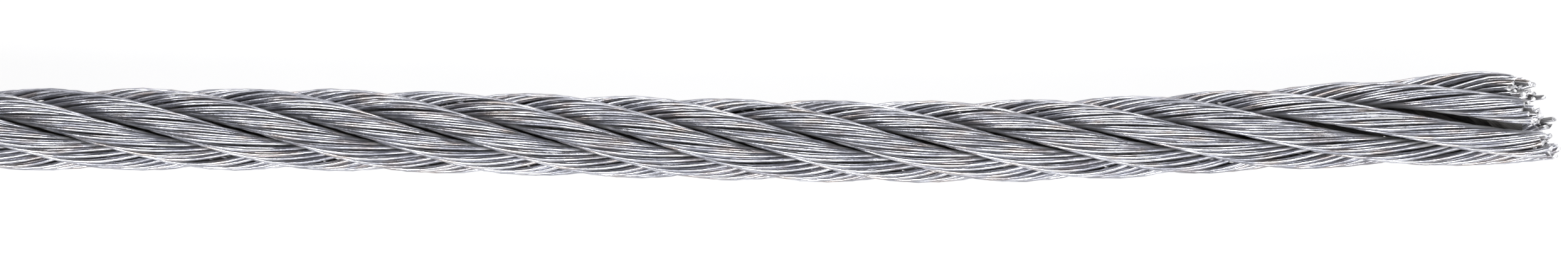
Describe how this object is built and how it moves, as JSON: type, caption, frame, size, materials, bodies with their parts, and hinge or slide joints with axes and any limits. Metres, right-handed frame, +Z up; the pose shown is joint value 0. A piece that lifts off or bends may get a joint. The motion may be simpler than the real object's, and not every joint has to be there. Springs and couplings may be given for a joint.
{
  "type": "coil of wire rope",
  "caption": "Round coil of six-strand galvanised steel wire rope held by cable ties, with one straight free end whose cut strands spring open.",
  "frame": {"origin": "on the floor, under the middle of the object's box", "axes": "+Z up, +X along the free end towards its cut, the coil at the -X end and on the +Y side of the free end's line"},
  "size_m": [0.387, 0.2158, 0.034],
  "materials": {
    "galvanised_wire": "bright zinc-coated drawn wire, slightly streaked",
    "greased_fibre": "dark lubricated fibre",
    "black_nylon": "satin moulded"
  },
  "bodies": {
    "root": {"coil_turns": "galvanised_wire", "free_end_strand_1": "galvanised_wire", "free_end_strand_2": "galvanised_wire", "free_end_strand_3": "galvanised_wire", "free_end_strand_4": "galvanised_wire", "free_end_strand_5": "galvanised_wire", "free_end_strand_6": "galvanised_wire", "free_end_core": "greased_fibre", "cable_tie_1": "black_nylon", "cable_tie_2": "black_nylon", "cable_tie_3": "black_nylon"}
  },
  "joints": []
}
